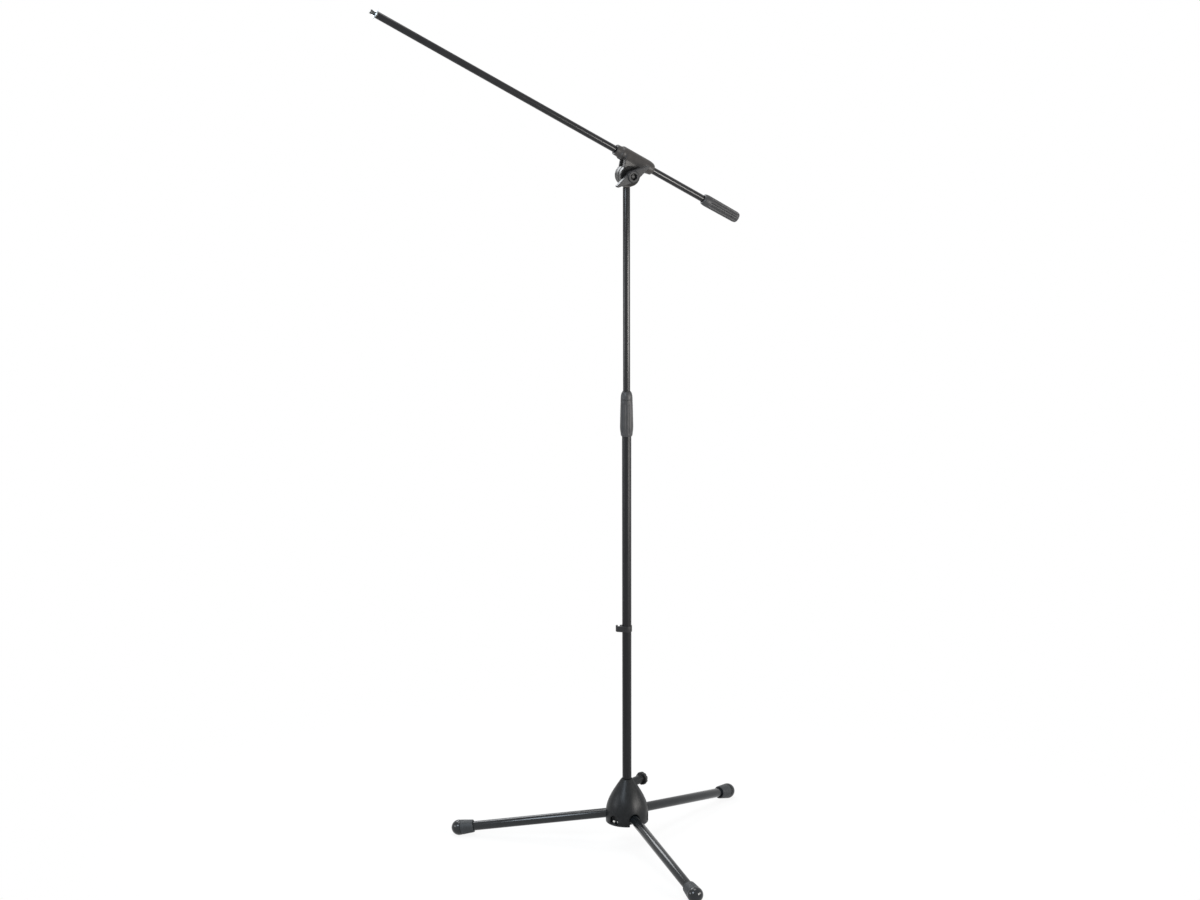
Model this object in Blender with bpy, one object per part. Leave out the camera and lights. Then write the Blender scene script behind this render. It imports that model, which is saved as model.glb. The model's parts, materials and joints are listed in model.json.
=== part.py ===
# Microphone stand with a folding tripod base, a telescopic column and a tilting boom arm.
# Metres, +Z up. The floor is z = 0, the boom points towards -X and leg 1 towards -Y.
# Every size below is real size. Radii are from the piece's own axis.

import math

import bmesh
import bpy

# Place of the column axis, with the origin in the middle of the whole footprint
POLE_X = 0.1043
POLE_Y = 0.0943

# Round pieces
FINE_STEPS = 40
TUBE_STEPS = 28
SMALL_STEPS = 18
SHARP_ANGLE = math.radians(32)
GAP = 0.0003

# Bell of the hub
HUB_R = 0.0472
HUB_BOTTOM = 0.052
HUB_WAIST = 0.066
HUB_TOP = 0.150
HUB_NECK_R = 0.0122
HUB_WELL_R = 0.019
HUB_BLOCK_TOP = 0.088
HUB_CAVITY_TOP = 0.118
HUB_CAVITY_R = 0.0405
BUSH_SEAT_R = 0.0132
BUSH_SEAT_TOP = 0.143
HUB_BORE_R = 0.0105

# Legs, as angles about the column from +X. The room round each pivot and the slot outside it are
# given as half width, height of the arch's centre and start and end along the leg
LEG_ANGLES = [math.radians(a) for a in (-90, 150, 30)]
SECTOR_ANGLES = [math.radians(a) for a in (-30, 210, 90)]
PIVOT_RADIUS = 0.024
PIVOT_HEIGHT = 0.060
PIN_R = 0.003
PIN_HALF = 0.033
PIN_HOLE_R = 0.0032
LEG_R = 0.0104
LEG_BORE_R = 0.0092
LEG_OFFSET = 0.0113
FOOT_REACH = 0.3772
FOOT_HEIGHT = 0.0166
FOOT_R = 0.0172
LEG_ROOM = (0.0135, 0.0720, 0.004, 0.041)
LEG_SLOT = (0.0109, 0.0690, 0.030, 0.060)
WINDOW_HALF = 0.0105
WINDOW_LOW = 0.0565
WINDOW_HIGH = 0.0755
WINDOW_FLOOR = 0.038

# Inner arms of the legs and the spool that moves them
ARM_LENGTH = 0.0125
ARM_DROP = math.radians(40)
ARM_TIP_R = 0.0022
ARM_HALF = 0.005
GROOVE_SLACK = 0.0006
SPOOL_R = 0.0149
SPOOL_CORE_R = 0.0085
SPOOL_FLANGE = 0.003

# Base knob, along the radial line above leg 3
KNOB_ANGLE = math.radians(30)
KNOB_HEIGHT = 0.135
BOSS_R = 0.0095
BOSS_END = 0.042
SCREW_R = 0.004
KNOB_R = 0.0147

# Column and clutch
LOWER_R = 0.010
LOWER_BORE_R = 0.0085
LOWER_TOP = 0.965
CLUTCH_LOW = 0.917
CLUTCH_SPLIT = 0.9968
CLUTCH_HIGH = 1.0145
UPPER_R = 0.0077
UPPER_BORE_R = 0.0065
UPPER_LOW = 0.800

# Cable clip
CLIP_ANGLE = math.radians(158)
CLIP_LOW = 0.4845
CLIP_HIGH = 0.4975
CLIP_RING_R = 0.0114
HOOK_CENTRE = 0.0175
HOOK_R = 0.0066
HOOK_BORE_R = 0.0051

# Boom head. Depths run towards the front of the stand, from the plane of the column axis
HINGE_HEIGHT = 1.4745
TILT = math.radians(29.3)
BOOM_OFFSET = 0.0354
CHEEK_R = 0.0223
REAR_CHEEK = (-0.0110, -0.0056)
KNUCKLE = (-0.0039, 0.0085)
FRONT_CHEEK = (0.0102, 0.0218)
KNUCKLE_R = 0.0226
FORK_ROOF = 0.0236
WASHER_R = 0.0208
SLEEVE_R = 0.0150
SLEEVE_FRONT = 0.0489
SLEEVE_REAR = -0.0470
SLEEVE_BORE_R = 0.0087
LEVER_ANGLE = math.radians(29)
LEVER_DEPTH = (0.0247, 0.0420)
LEVER_BOSS_R = 0.012
HEX_R = 0.0075

# Boom
BOOM_R = 0.0074
BOOM_BORE_R = 0.0062
BOOM_FRONT = 0.6350
BOOM_REAR = -0.2660
GRIP_FRONT = -0.1806
GRIP_REAR = -0.2724
STUD_R = 0.00476
STUD_ROOT_R = 0.0043
STUD_END = 0.651


def clear_scene():
    for obj in list(bpy.data.objects):
        bpy.data.objects.remove(obj, do_unlink=True)


def finish(name, color, roughness, metallic=0.0):
    made = bpy.data.materials.new(name)
    made.use_nodes = True
    shader = made.node_tree.nodes["Principled BSDF"]
    shader.inputs["Base Color"].default_value = (*color, 1.0)
    shader.inputs["Roughness"].default_value = roughness
    shader.inputs["Metallic"].default_value = metallic
    made.diffuse_color = (*color, 1.0)
    return made


def frame(name, parent=None, location=(0, 0, 0), rotation=(0, 0, 0)):
    made = bpy.data.objects.new(name, None)
    bpy.context.scene.collection.objects.link(made)
    made.parent = parent
    made.location = location
    made.rotation_euler = rotation
    made.empty_display_size = 0.02
    return made


# Makes an object of the mesh, in the parent's frame
def piece(name, bm, parent, look, location=(0, 0, 0), rotation=(0, 0, 0)):
    bmesh.ops.recalc_face_normals(bm, faces=bm.faces)
    mesh = bpy.data.meshes.new(name)
    bm.to_mesh(mesh)
    bm.free()
    mesh.shade_smooth()
    mesh.set_sharp_from_angle(angle=SHARP_ANGLE)
    made = bpy.data.objects.new(name, mesh)
    bpy.context.scene.collection.objects.link(made)
    made.parent = parent
    made.location = location
    made.rotation_euler = rotation
    if look:
        made.data.materials.append(look)
    return made


# Joins two rings of vertices, either of which may be a single point
def skin(bm, low, high):
    count = max(len(low), len(high))
    for i in range(count):
        j = (i + 1) % count
        corners = [low[i % len(low)], low[j % len(low)], high[j % len(high)], high[i % len(high)]]
        bm.faces.new(list(dict.fromkeys(corners)))


# Turns a profile of (radius, height) about Z. It is a ring, or both its ends are on the axis.
# A third value is the depth there of the grooves that the function groove(angle) spaces out
def turned(name, profile, parent, look, steps=TUBE_STEPS, groove=None, **place):
    bm = bmesh.new()
    rings = []
    for radius, height, *depth in profile:
        if radius == 0:
            rings.append([bm.verts.new((0, 0, height))])
            continue
        ring = []
        for step in range(steps):
            angle = 2 * math.pi * step / steps
            local = radius - (depth[0] * groove(angle) if depth else 0)
            ring.append(bm.verts.new((local * math.cos(angle), local * math.sin(angle), height)))
        rings.append(ring)
    if profile[0][0] != 0:
        rings.append(rings[0])
    for low, high in zip(rings, rings[1:]):
        skin(bm, low, high)
    return piece(name, bm, parent, look, **place)


# Extrudes an outline of (x, z) points along Y
def prism(name, outline, low, high, parent, look, **place):
    bm = bmesh.new()
    near = [bm.verts.new((x, low, z)) for x, z in outline]
    far = [bm.verts.new((x, high, z)) for x, z in outline]
    bm.faces.new(near)
    bm.faces.new(far)
    skin(bm, near, far)
    return piece(name, bm, parent, look, **place)


def combine(target, tool, operation="DIFFERENCE"):
    tool.hide_render = True
    tool.display_type = "WIRE"
    modifier = target.modifiers.new(tool.name, "BOOLEAN")
    modifier.operation = operation
    modifier.solver = "EXACT"
    modifier.object = tool


def rod(radius, low, high, chamfer=0.0):
    inner = radius - chamfer
    if not chamfer:
        return [(0, low), (radius, low), (radius, high), (0, high)]
    return [
        (0, low),
        (inner, low),
        (radius, low + chamfer),
        (radius, high - chamfer),
        (inner, high),
        (0, high),
    ]


def sleeve(inner, outer, low, high):
    return [(inner, low), (outer, low), (outer, high), (inner, high)]


# Points on a circle, with the angles in degrees
def arc(centre, radius, start, end, steps):
    points = []
    for step in range(steps + 1):
        angle = math.radians(start + (end - start) * step / steps)
        points.append((centre[0] + radius * math.cos(angle), centre[1] + radius * math.sin(angle)))
    return points


def bezier(a, b, c, d, steps):
    points = []
    for step in range(steps + 1):
        t = step / steps
        u = 1 - t
        weights = (u**3, 3 * u * u * t, 3 * u * t * t, t**3)
        points.append(tuple(sum(w * p[k] for w, p in zip(weights, (a, b, c, d))) for k in (0, 1)))
    return points


def box(half_width, low, high):
    return [(-half_width, low), (half_width, low), (half_width, high), (-half_width, high)]


def hexagon(radius):
    return arc((0, 0), radius, 0, 300, 5)


# A groove pattern round a grip: 1 at the bottom of each groove and 0 between them
def flutes(count, sharpness):
    return lambda angle: max(0.0, math.cos(count * angle)) ** sharpness


ALONG_Y = (-math.pi / 2, 0, 0)
ALONG_X = (0, math.pi / 2, 0)


# Turns a frame so that its Y axis points away from the column at this angle
def radial(angle):
    return (0, 0, angle - math.pi / 2)


def make_hub(stand, looks):
    outside = bezier(
        (HUB_R, HUB_WAIST), (HUB_R, 0.0955), (0.0376, 0.1125), (HUB_NECK_R, HUB_TOP), 10
    )
    ceiling = bezier(
        (0.018, HUB_CAVITY_TOP), (0.0285, 0.112), (0.0385, 0.099), (HUB_CAVITY_R, HUB_BLOCK_TOP), 4
    )
    profile = [(HUB_R - 0.0012, HUB_BOTTOM), (HUB_R - 0.0003, HUB_BOTTOM + 0.001)]
    profile += outside
    profile += [
        (HUB_BORE_R, HUB_TOP),
        (HUB_BORE_R, BUSH_SEAT_TOP),
        (BUSH_SEAT_R, BUSH_SEAT_TOP),
        (BUSH_SEAT_R, HUB_CAVITY_TOP),
    ]
    profile += ceiling
    profile += [(HUB_WELL_R, HUB_BLOCK_TOP), (HUB_WELL_R, HUB_BOTTOM)]
    hub = turned("hub_housing", profile, stand, looks["cast"], FINE_STEPS)

    screw_line = frame("screw_line", stand, (0, 0, KNOB_HEIGHT), radial(KNOB_ANGLE))
    boss = turned(
        "boss", rod(BOSS_R, 0.014, BOSS_END, 0.0006), screw_line, None, SMALL_STEPS, rotation=ALONG_Y
    )
    combine(hub, boss, "UNION")

    for number, angle in enumerate(LEG_ANGLES, 1):
        for part, (half, height, start, end) in (("room", LEG_ROOM), ("slot", LEG_SLOT)):
            arch = [(-half, 0.04), (half, 0.04)] + arc((0, height), half, 0, 180, 12)
            tool = prism(f"{part}_{number}", arch, start, end, stand, None, rotation=radial(angle))
            combine(hub, tool)
        bore = turned(
            f"pin_bore_{number}",
            rod(PIN_HOLE_R, -PIN_HALF - 0.0015, PIN_HALF + 0.0015),
            frame(f"pin_line_{number}", stand, rotation=(0, 0, angle)),
            None,
            SMALL_STEPS,
            location=(PIVOT_RADIUS, 0, PIVOT_HEIGHT),
            rotation=ALONG_Y,
        )
        combine(hub, bore)

    window = [(-WINDOW_HALF, WINDOW_LOW), (WINDOW_HALF, WINDOW_LOW)]
    window += arc((0, WINDOW_HIGH - WINDOW_HALF), WINDOW_HALF, 0, 180, 10)
    for number, angle in enumerate(SECTOR_ANGLES, 1):
        pocket = prism(
            f"window_{number}", window, WINDOW_FLOOR, 0.055, stand, None, rotation=radial(angle)
        )
        combine(hub, pocket)

    pocket = prism("nut_pocket", hexagon(HEX_R + 0.0003), 0.004, 0.0273, screw_line, None)
    combine(hub, pocket)
    hole = turned(
        "screw_hole", rod(SCREW_R + 0.0004, 0.0255, 0.050), screw_line, None, SMALL_STEPS, rotation=ALONG_Y
    )
    combine(hub, hole)

    bush = turned(
        "hub_top_bush",
        sleeve(LOWER_R + GAP, BUSH_SEAT_R - GAP, HUB_CAVITY_TOP + 0.0004, BUSH_SEAT_TOP - GAP),
        stand,
        looks["plastic"],
    )
    bush_hole = turned(
        "bush_hole", rod(SCREW_R + 0.0006, 0.006, 0.016), screw_line, None, SMALL_STEPS, rotation=ALONG_Y
    )
    combine(bush, bush_hole)

    nut = prism("base_nut", hexagon(HEX_R - 0.0001), 0.0205, 0.0270, screw_line, looks["zinc"])
    nut_bore = turned(
        "nut_bore", rod(SCREW_R + GAP, 0.015, 0.030), screw_line, None, SMALL_STEPS, rotation=ALONG_Y
    )
    combine(nut, nut_bore)
    make_base_knob(screw_line, looks)


# The knob and its screw turn about the radial line of the boss
def make_base_knob(screw_line, looks):
    knob_frame = frame("knob_turn", screw_line, rotation=ALONG_Y)
    rim = 0.0012
    profile = [
        (SCREW_R + GAP, 0.0443),
        (0.0062, 0.0443),
        (0.0066, 0.0498),
        (KNOB_R - rim, 0.0503, rim / 2),
        (KNOB_R, 0.0503 + rim, rim),
        (KNOB_R, 0.0562, rim),
        (KNOB_R - rim, 0.0575, rim / 2),
        (0.0055, 0.0568),
        (0, 0.0568),
        (0, 0.0552),
        (SCREW_R + GAP, 0.0552),
    ]
    chain = profile[8:9][::-1] + profile[:8][::-1] + profile[9:][::-1]
    turned("base_knob", chain, knob_frame, looks["plastic"], 60, flutes(10, 2))
    turned("clamp_screw", rod(SCREW_R, 0.0106, 0.0549, 0.0006), knob_frame, looks["zinc"], SMALL_STEPS)


# The leg's slope at rest, and the run from the pivot to the middle of the foot along it
def leg_geometry():
    out = FOOT_REACH - PIVOT_RADIUS
    down = PIVOT_HEIGHT - FOOT_HEIGHT
    direct = math.hypot(out, down)
    slope = math.atan2(down, out) + math.asin(LEG_OFFSET / direct)
    return slope, math.sqrt(direct**2 - LEG_OFFSET**2)


def make_leg(number, angle, stand, looks):
    slope, run = leg_geometry()
    plane = frame(f"leg_plane_{number}", stand, rotation=(0, 0, angle))
    pivot = frame(f"leg_pivot_{number}", plane, (PIVOT_RADIUS, 0, PIVOT_HEIGHT), (0, slope, 0))
    axis = frame(f"leg_axis_{number}", pivot, (0, 0, LEG_OFFSET), ALONG_X)

    turned(
        f"pivot_pin_{number}",
        rod(PIN_R, -PIN_HALF, PIN_HALF, 0.0005),
        plane,
        looks["zinc"],
        SMALL_STEPS,
        location=(PIVOT_RADIUS, 0, PIVOT_HEIGHT),
        rotation=ALONG_Y,
    )

    tube_start = 0.0082
    tube_end = run - 0.001
    turned(
        f"leg_tube_{number}", sleeve(LEG_BORE_R, LEG_R, tube_start, tube_end), axis, looks["gloss"]
    )

    knuckle = turned(
        f"leg_knuckle_{number}",
        [
            (0, -0.005),
            (0.0055, -0.005),
            (0.0088, -0.0036),
            (LEG_R, -0.0005),
            (LEG_R, tube_start - GAP),
            (LEG_BORE_R - GAP, tube_start - GAP),
            (LEG_BORE_R - GAP, 0.034),
            (0, 0.034),
        ],
        axis,
        looks["cast"],
        SMALL_STEPS,
    )
    eye_r = 0.0055
    web = arc((0, 0), eye_r, 190, 350, 8) + [(0.007, LEG_OFFSET), (-0.004, LEG_OFFSET)]
    combine(knuckle, prism(f"web_{number}", web, -0.0062, 0.0062, pivot, None), "UNION")
    eye = turned(
        f"eye_{number}", rod(eye_r + 0.0004, -0.0130, 0.0130), pivot, None, SMALL_STEPS, rotation=ALONG_Y
    )
    combine(knuckle, eye, "UNION")
    tip = ARM_LENGTH
    upper_side = [(0.0105, 0.0015), (0.0075, 0.0016), (0.0045, 0.0030), (0, 0.0040)]
    lower_side = [(x, -z) for x, z in upper_side[::-1]]
    finger = arc((tip, 0), ARM_TIP_R, -135, 135, 10) + upper_side + lower_side
    arm = prism(
        f"arm_{number}",
        finger,
        -ARM_HALF,
        ARM_HALF,
        pivot,
        None,
        rotation=(0, math.pi - ARM_DROP - slope, 0),
    )
    combine(knuckle, arm, "UNION")
    hole = turned(
        f"eye_hole_{number}", rod(PIN_HOLE_R, -0.020, 0.020), pivot, None, SMALL_STEPS, rotation=ALONG_Y
    )
    combine(knuckle, hole)
    make_foot(number, run, slope, pivot, axis, looks)


# A rubber sleeve on the tube's end, and a ball with a small flat on the floor
def make_foot(number, run, slope, pivot, axis, looks):
    seat = run - 0.0047
    profile = [
        (LEG_R + GAP, run - 0.0335),
        (0.0135, run - 0.0335),
        (0.0142, run - 0.0328),
        (0.0150, run - 0.0230),
        (0.0161, run - 0.0110),
        (0.0165, run - 0.0065),
        (0.0161, seat - GAP),
        (LEG_R + GAP, seat - GAP),
    ]
    turned(f"foot_sleeve_{number}", profile, axis, looks["rubber"])

    flat = math.degrees(math.asin(FOOT_HEIGHT / FOOT_R))
    ball = turned(
        f"foot_ball_{number}",
        [(0, -FOOT_HEIGHT)] + arc((0, 0), FOOT_R, -flat, 90, 10)[:-1] + [(0, FOOT_R)],
        pivot,
        looks["gloss"],
        TUBE_STEPS,
        location=(run, 0, LEG_OFFSET),
        rotation=(0, -slope, 0),
    )
    socket = [
        (0, run - 0.040),
        (0.030, run - 0.040),
        (0.030, seat),
        (LEG_R + GAP, seat),
        (LEG_R + GAP, run - 0.0007),
        (0, run - 0.0007),
    ]
    combine(ball, turned(f"socket_{number}", socket, axis, None))


def make_column(stand, looks):
    tip = PIVOT_HEIGHT - ARM_LENGTH * math.sin(ARM_DROP)
    half_groove = ARM_TIP_R + GROOVE_SLACK
    upper = tip + half_groove
    lower = tip - half_groove
    flange_top = upper + SPOOL_FLANGE
    spool = [
        (0, lower - SPOOL_FLANGE),
        (SPOOL_R, lower - SPOOL_FLANGE),
        (SPOOL_R, lower),
        (SPOOL_CORE_R, lower),
        (SPOOL_CORE_R, upper),
        (SPOOL_R, upper),
        (SPOOL_R, flange_top),
        (LOWER_BORE_R - GAP, flange_top),
        (LOWER_BORE_R - GAP, 0.082),
        (0, 0.082),
    ]
    turned("spreader_spool", spool, stand, looks["plastic"])
    turned(
        "lower_tube",
        sleeve(LOWER_BORE_R, LOWER_R, flange_top + GAP, LOWER_TOP),
        stand,
        looks["satin"],
        FINE_STEPS,
    )


def make_clutch(stand, looks):
    body_r = 0.0116
    seat_r = 0.0094
    body = [
        (LOWER_R + GAP, 0.925),
        (body_r, 0.925),
        (body_r, CLUTCH_SPLIT - 0.0006),
        (0.0108, CLUTCH_SPLIT - 0.0006),
        (seat_r, 0.984),
        (seat_r, LOWER_TOP + GAP),
        (LOWER_R + GAP, LOWER_TOP + GAP),
    ]
    turned("clutch_body", body, stand, looks["plastic"])

    collet_r = 0.0079
    collet = turned(
        "clutch_collet",
        [
            (collet_r, 0.968),
            (seat_r - GAP, 0.968),
            (seat_r - GAP, 0.9842),
            (0.0104, CLUTCH_SPLIT - 0.0006),
            (0.0104, 1.0030),
            (collet_r, 1.0030),
        ],
        stand,
        looks["nylon"],
    )
    slit = prism("collet_slit", box(0.0009, 0.960, 1.010), 0.004, 0.014, stand, None)
    combine(collet, slit)

    grip = [
        (LOWER_R + 0.0004, CLUTCH_LOW),
        (0.0112, CLUTCH_LOW),
        (0.0124, 0.9192),
        (0.0131, 0.9252),
        (0.0139, 0.9316),
        (0.0142, 0.938),
        (0.0139, 0.951),
        (0.0135, 0.970),
        (0.01285, 0.993),
        (0.01280, CLUTCH_SPLIT - GAP),
        (body_r + GAP, CLUTCH_SPLIT - GAP),
        (body_r + GAP, 0.9246),
        (LOWER_R + 0.0004, 0.9226),
    ]
    turned("clutch_grip", grip, stand, looks["grip"], FINE_STEPS)
    cap = [
        (0.0108, CLUTCH_SPLIT),
        (0.01285, CLUTCH_SPLIT),
        (0.0127, 1.0004),
        (0.0123, 1.0050),
        (0.0115, 1.0088),
        (0.0103, 1.0118),
        (0.0092, 1.0137),
        (0.0086, CLUTCH_HIGH),
        (UPPER_R + 0.0004, CLUTCH_HIGH - 0.0004),
        (UPPER_R + 0.0004, 1.0034),
        (0.0108, 1.0034),
    ]
    turned("clutch_cap", cap, stand, looks["grip"], FINE_STEPS)


# A snap ring on the lower tube with a smaller cable ring beside it, both open at the back
def make_clip(stand, looks):
    spot = frame("clip_slide", stand, (0, 0, CLIP_LOW), (0, 0, CLIP_ANGLE))
    hook = (HOOK_CENTRE, 0)
    lean = math.degrees(math.acos((CLIP_RING_R - HOOK_R) / HOOK_CENTRE))
    outline = arc(hook, HOOK_BORE_R, 245, -65, 24)
    outline += arc(hook, HOOK_R, -65, lean, 14)
    outline += arc((0, 0), CLIP_RING_R, lean, 244, 20)
    outline += arc((0, 0), LOWER_R + GAP, 244, -64, 32)
    outline += arc((0, 0), CLIP_RING_R, -64, -66, 1)[:1]
    outline += arc(hook, HOOK_R, -115, -114, 1)[:1]
    prism(
        "cable_clip",
        outline,
        CLIP_LOW - CLIP_HIGH,
        0,
        spot,
        looks["plastic"],
        rotation=ALONG_Y,
    )


def make_mast(stand, looks):
    tube_top = HINGE_HEIGHT - 0.0263
    turned(
        "upper_tube", sleeve(UPPER_BORE_R, UPPER_R, UPPER_LOW, tube_top), stand, looks["semi"], FINE_STEPS
    )
    turned(
        "mast_guide_bush",
        [
            (0, UPPER_LOW - 0.008),
            (0.0082, UPPER_LOW - 0.008),
            (0.0082, UPPER_LOW - GAP),
            (0.0062, UPPER_LOW - GAP),
            (0.0062, UPPER_LOW + 0.015),
            (0, UPPER_LOW + 0.015),
        ],
        stand,
        looks["nylon"],
    )
    hinge = frame("hinge_line", stand, (0, 0, HINGE_HEIGHT), (0, 0, math.pi))
    disc = arc((0, 0), KNUCKLE_R, -65, 245, 40) + [(-0.0075, -0.0244), (0.0075, -0.0244)]
    knuckle = prism("tilt_knuckle", disc, *KNUCKLE, hinge, looks["cast"])
    neck = turned(
        "neck",
        [
            (0, -0.060),
            (0.0062, -0.060),
            (0.0062, -0.0260),
            (UPPER_R, -0.0260),
            (UPPER_R, -0.0234),
            (0, -0.0234),
        ],
        hinge,
        None,
    )
    combine(knuckle, neck, "UNION")
    hole = turned(
        "knuckle_hole", rod(SCREW_R + 0.0004, -0.02, 0.02), hinge, None, SMALL_STEPS, rotation=ALONG_Y
    )
    combine(knuckle, hole)
    return hinge


# In this frame X runs along the boom to its tip and Y towards the front of the stand
def make_head(stand, looks):
    tilt = frame("boom_tilt", stand, (0, 0, HINGE_HEIGHT), (0, -TILT, math.pi))
    boom_line = frame("boom_line", tilt, (0, 0, BOOM_OFFSET), ALONG_X)
    nose = bezier((SLEEVE_R, -0.026), (SLEEVE_R, -0.036), (0.0140, -0.044), (0.0100, SLEEVE_REAR), 6)
    profile = [
        (SLEEVE_BORE_R, SLEEVE_REAR),
        *nose[::-1],
        (SLEEVE_R, 0.0330),
        (0.0120, 0.0385),
        (0.0116, SLEEVE_FRONT - 0.0006),
        (0.0110, SLEEVE_FRONT),
        (0.0100, SLEEVE_FRONT),
        (0.0100, 0.0459),
        (SLEEVE_BORE_R, 0.0459),
    ]
    head = turned("boom_head", profile, boom_line, looks["cast"], 40)

    roof = 0.042
    cheek = arc((0, 0), CHEEK_R, -205, 22, 30)
    cheek += [(0.0255, 0.0240), (0.0255, roof), (-0.0230, roof), (-0.0230, 0.0240)]
    cheeks = prism("cheeks", cheek, REAR_CHEEK[0], FRONT_CHEEK[1], tilt, None)
    slope = prism(
        "cheek_slope",
        [(0.0228, 0.024), (0.040, 0.024), (0.040, 0.060), (0.0040, 0.060)],
        -0.040,
        0.040,
        tilt,
        None,
        rotation=(0, 0, math.pi / 2),
    )
    combine(cheeks, slope)
    combine(head, cheeks, "UNION")
    bore = turned("sleeve_bore", rod(SLEEVE_BORE_R, -0.06, 0.06), boom_line, None, 40)
    combine(head, bore)
    fork = prism(
        "fork_gap", box(0.045, -0.030, FORK_ROOF), REAR_CHEEK[1], FRONT_CHEEK[0], tilt, None
    )
    combine(head, fork)
    slit = prism("sleeve_slit", box(0.060, FORK_ROOF - 0.010, BOOM_OFFSET), -0.001, 0.001, tilt, None)
    combine(head, slit)
    hole = turned(
        "bolt_hole", rod(SCREW_R + 0.0004, -0.02, 0.03), tilt, None, SMALL_STEPS, rotation=ALONG_Y
    )
    combine(head, hole)
    seat = prism("bolt_seat", hexagon(HEX_R + 0.0003), -0.0150, -0.0088, tilt, None)
    combine(head, seat)

    disc_r = 0.020
    rear = sleeve(SCREW_R + 0.0005, disc_r, REAR_CHEEK[1] + GAP, KNUCKLE[0] - GAP)
    turned("rear_friction_disc", rear, tilt, looks["rubber"], rotation=ALONG_Y)
    front = sleeve(SCREW_R + 0.0005, disc_r, KNUCKLE[1] + GAP, FRONT_CHEEK[0] - GAP)
    turned("front_friction_disc", front, tilt, looks["rubber"], rotation=ALONG_Y)
    washer = [
        (SCREW_R + 0.0005, 0.0221),
        (WASHER_R, 0.0221),
        (WASHER_R, 0.0236),
        (WASHER_R - 0.0008, 0.0244),
        (SCREW_R + 0.0005, 0.0244),
    ]
    turned("front_washer", washer, tilt, looks["plastic"], FINE_STEPS, rotation=ALONG_Y)
    bolt = prism("clamp_bolt", hexagon(HEX_R), -0.0143, -0.0091, tilt, looks["zinc"])
    shank = turned(
        "shank", rod(SCREW_R, -0.0100, 0.0375, 0.0006), tilt, None, SMALL_STEPS, rotation=ALONG_Y
    )
    combine(bolt, shank, "UNION")
    return boom_line


# Two tapered wings on a ring boss with a hex socket, on the front of the head
def make_lever(hinge, looks):
    turn = frame("lever_turn", hinge, rotation=(0, LEVER_ANGLE, 0))
    low, high = LEVER_DEPTH
    rim = LEVER_BOSS_R - 0.0008
    boss = [
        (SCREW_R + 0.0004, low),
        (rim, low),
        (LEVER_BOSS_R, low + 0.0008),
        (LEVER_BOSS_R, high - 0.0008),
        (rim, high),
        (SCREW_R + 0.0004, high),
    ]
    lever = turned("wing_lever", boss, turn, looks["plastic"], rotation=ALONG_Y)
    reach = 0.0385
    lean = math.degrees(math.asin((0.0116 - 0.0026) / reach))
    wing = arc((reach, 0), 0.0026, lean - 90, 90 - lean, 6)
    wing += arc((0, 0), 0.0116, 90 - lean, 90 + lean, 2)
    wing += arc((-reach, 0), 0.0026, 90 + lean, 270 - lean, 6)
    wing += arc((0, 0), 0.0116, 270 - lean, 270 + lean, 2)
    combine(lever, prism("wings", wing, 0.0285, 0.0392, turn, None), "UNION")
    socket = prism("lever_socket", hexagon(HEX_R + 0.0002), 0.0280, 0.0450, turn, None)
    combine(lever, socket)
    nut = prism("lever_nut", hexagon(HEX_R - 0.0001), 0.0283, 0.0348, turn, looks["zinc"])
    thread = turned(
        "lever_thread", rod(SCREW_R + GAP, 0.025, 0.040), turn, None, SMALL_STEPS, rotation=ALONG_Y
    )
    combine(nut, thread)


def make_boom(boom_line, looks):
    liner_r = SLEEVE_BORE_R - GAP
    turned(
        "boom_liner",
        [
            (BOOM_R + GAP, -0.044),
            (liner_r, -0.044),
            (liner_r, 0.0462),
            (0.0097, 0.0462),
            (0.0097, 0.0477),
            (BOOM_R + GAP, 0.0477),
        ],
        boom_line,
        looks["nylon"],
    )
    turned(
        "boom_tube", sleeve(BOOM_BORE_R, BOOM_R, BOOM_REAR, BOOM_FRONT), boom_line, looks["semi"], FINE_STEPS
    )
    plug_r = BOOM_BORE_R - GAP
    turned(
        "tip_stud",
        [
            (0, 0.606),
            (plug_r, 0.606),
            (plug_r, BOOM_FRONT + GAP),
            (BOOM_R, BOOM_FRONT + GAP),
            (BOOM_R, 0.6382),
            (STUD_ROOT_R, 0.6382),
            (STUD_ROOT_R, 0.6425),
            (STUD_R, 0.6430),
            (STUD_R, STUD_END - 0.0008),
            (STUD_R - 0.0008, STUD_END),
            (0, STUD_END),
        ],
        boom_line,
        looks["zinc"],
    )
    turned(
        "lock_disc",
        [
            (STUD_R + 0.0001, 0.6386),
            (0.0113, 0.6386),
            (0.01175, 0.6391),
            (0.01175, 0.6407),
            (0.0113, 0.6412),
            (STUD_R + 0.0001, 0.6412),
        ],
        boom_line,
        looks["chrome"],
        FINE_STEPS,
    )
    grip = [
        (0, GRIP_REAR),
        (0.0082, GRIP_REAR),
        (0.0104, -0.2710),
        (0.0113, -0.2680),
        (0.0116, -0.2640),
        (0.0125, -0.1972),
        (0.0126, -0.1902),
        (0.0122, -0.1860),
        (0.0112, -0.1822),
        (0.0098, GRIP_FRONT),
        (BOOM_R + GAP, GRIP_FRONT),
        (BOOM_R + GAP, BOOM_REAR - GAP),
        (0, BOOM_REAR - GAP),
    ]
    turned("rear_grip", grip, boom_line, looks["grip"], FINE_STEPS)


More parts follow.
